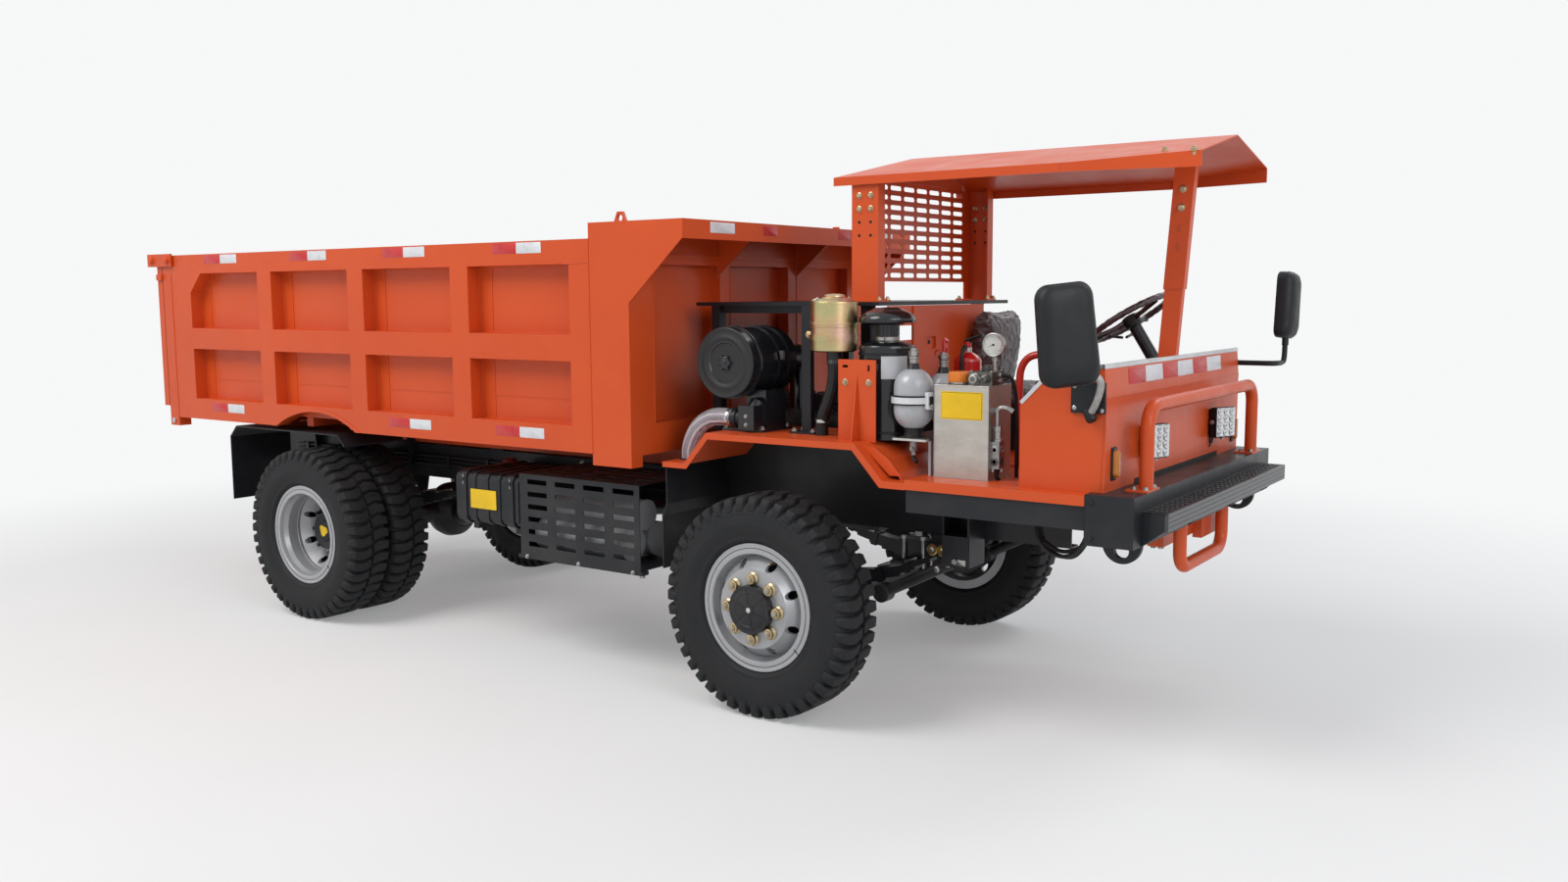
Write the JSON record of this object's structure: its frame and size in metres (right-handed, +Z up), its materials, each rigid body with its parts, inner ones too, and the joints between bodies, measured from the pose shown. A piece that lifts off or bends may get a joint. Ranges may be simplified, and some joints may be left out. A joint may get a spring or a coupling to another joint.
{
  "type": "mining_dump_truck",
  "caption": "Low underground mining dump truck with a ribbed orange tipping bed, open driver's place under a small canopy, twin rear wheels, hoist, steering and a top-hung tailgate",
  "frame": {"origin": "On the ground, at the middle of the truck's length and width.", "axes": "X points to the truck's front, Y to the driver's left, Z up."},
  "size_m": [6.716, 2.305, 2.565],
  "materials": {
    "paint_orange": "satin",
    "paint_black": "satin",
    "rim_silver": "satin",
    "tyre_rubber": "matte",
    "steel_bare": "satin",
    "chrome_rod": "polished",
    "cast_metal": "matte",
    "clear_hose": "gloss",
    "black_plastic": "matte",
    "gold_plating": "satin",
    "paint_red": "gloss",
    "seat_cover": "gloss",
    "lamp_amber": "gloss"
  },
  "bodies": {
    "truck": {"chassis_frame": "paint_black", "cab_frame": "paint_black", "front_bumper": "paint_black", "bull_bar": "paint_orange", "front_axle": "paint_black", "rear_axle": "paint_black", "leaf_springs": "paint_black", "drive_shaft": "paint_black", "engine": "cast_metal", "mudguards": "paint_black", "fuel_tank": "paint_black", "side_guard": "paint_black", "air_tanks": "steel_bare", "deck": "paint_orange", "cowl": "paint_orange", "cab_rear_panel": "paint_orange", "seat": "seat_cover", "steering_column": "paint_black", "cover_plate": "paint_black", "rear_posts": "paint_orange", "front_post": "paint_orange", "canopy_roof": "paint_orange", "air_cleaner": "paint_black", "intake_hose": "clear_hose", "oil_bath": "gold_plating", "intake_filter": "paint_black", "accumulators": "steel_bare", "oil_tank": "steel_bare", "extinguisher": "paint_red", "lamps": "lamp_amber", "mirror_right": "paint_black", "mirror_left": "paint_black"},
    "hand_wheel": {"steering_wheel": "black_plastic"},
    "right_knuckle": {"knuckle_right": "paint_black"},
    "left_knuckle": {"knuckle_left": "paint_black"},
    "steering_link": {"tie_rod": "paint_black"},
    "front_right_wheel": {"rim_front_right": "rim_silver", "tyre_front_right": "tyre_rubber"},
    "front_left_wheel": {"rim_front_left": "rim_silver", "tyre_front_left": "tyre_rubber"},
    "rear_right_wheels": {"rims_rear_right": "rim_silver", "tyres_rear_right": "tyre_rubber"},
    "rear_left_wheels": {"rims_rear_left": "rim_silver", "tyres_rear_left": "tyre_rubber"},
    "bed": {"bed_floor": "paint_orange", "bed_side_right": "paint_orange", "bed_side_left": "paint_orange", "bed_headboard": "paint_orange"},
    "gate": {"tailgate": "paint_orange"},
    "barrel": {"hoist_barrel": "paint_black"},
    "sleeve": {"hoist_sleeve": "chrome_rod"},
    "rod": {"hoist_rod": "chrome_rod"}
  },
  "joints": [
    {"name": "bed_tip", "type": "hinge", "parent": "truck", "child": "bed", "pos_m": [-2.966, 0, 1.05], "axis": [0, -1, 0], "range_deg": [0, 45]},
    {"name": "tailgate_swing", "type": "hinge", "parent": "bed", "child": "gate", "pos_m": [-3.126, 0, 2.15], "axis": [0, 1, 0], "range_deg": [0, 90]},
    {"name": "hoist_lean", "type": "hinge", "parent": "truck", "child": "barrel", "pos_m": [-2.08305, 0, 0.58053], "axis": [0, -1, 0], "range_deg": [0, 22.5]},
    {"name": "sleeve_slide", "type": "slide", "parent": "barrel", "child": "sleeve", "axis": [0.225, 0, 0.9744], "range_m": [0, 0.35]},
    {"name": "rod_slide", "type": "slide", "parent": "sleeve", "child": "rod", "axis": [0.225, 0, 0.9744], "range_m": [0, 0.35]},
    {"name": "steer_right", "type": "hinge", "parent": "truck", "child": "right_knuckle", "pos_m": [1.578, -0.79, 0.509], "axis": [0, 0, 1], "range_deg": [-28, 28]},
    {"name": "steer_left", "type": "hinge", "parent": "truck", "child": "left_knuckle", "pos_m": [1.578, 0.79, 0.509], "axis": [0, 0, 1], "range_deg": [-28, 28]},
    {"name": "tie_rod_swing", "type": "hinge", "parent": "right_knuckle", "child": "steering_link", "pos_m": [1.388, -0.79, 0.3834], "axis": [0, 0, 1], "range_deg": [-28, 28]},
    {"name": "wheel_turn", "type": "hinge", "parent": "truck", "child": "hand_wheel", "pos_m": [2.744, 0.4, 1.76], "axis": [-0.5299, 0, 0.848], "range_deg": [-448, 448]},
    {"name": "spin_front_right", "type": "hinge", "parent": "right_knuckle", "child": "front_right_wheel", "pos_m": [1.578, -0.991, 0.509], "axis": [0, 1, 0], "continuous": true},
    {"name": "spin_front_left", "type": "hinge", "parent": "left_knuckle", "child": "front_left_wheel", "pos_m": [1.578, 0.991, 0.509], "axis": [0, 1, 0], "continuous": true},
    {"name": "spin_rear_right", "type": "hinge", "parent": "truck", "child": "rear_right_wheels", "pos_m": [-1.716, -0.878, 0.509], "axis": [0, 1, 0], "continuous": true},
    {"name": "spin_rear_left", "type": "hinge", "parent": "truck", "child": "rear_left_wheels", "pos_m": [-1.716, 0.878, 0.509], "axis": [0, 1, 0], "continuous": true}
  ],
  "couplings": [
    {"joint": "steer_left", "follows": "steer_right", "ratio": 1},
    {"joint": "tie_rod_swing", "follows": "steer_right", "ratio": -1},
    {"joint": "wheel_turn", "follows": "steer_right", "ratio": 16},
    {"joint": "hoist_lean", "follows": "bed_tip", "ratio": 0.5},
    {"joint": "sleeve_slide", "follows": "bed_tip", "m_per_rad": 0.44556},
    {"joint": "rod_slide", "follows": "bed_tip", "m_per_rad": 0.44556}
  ]
}
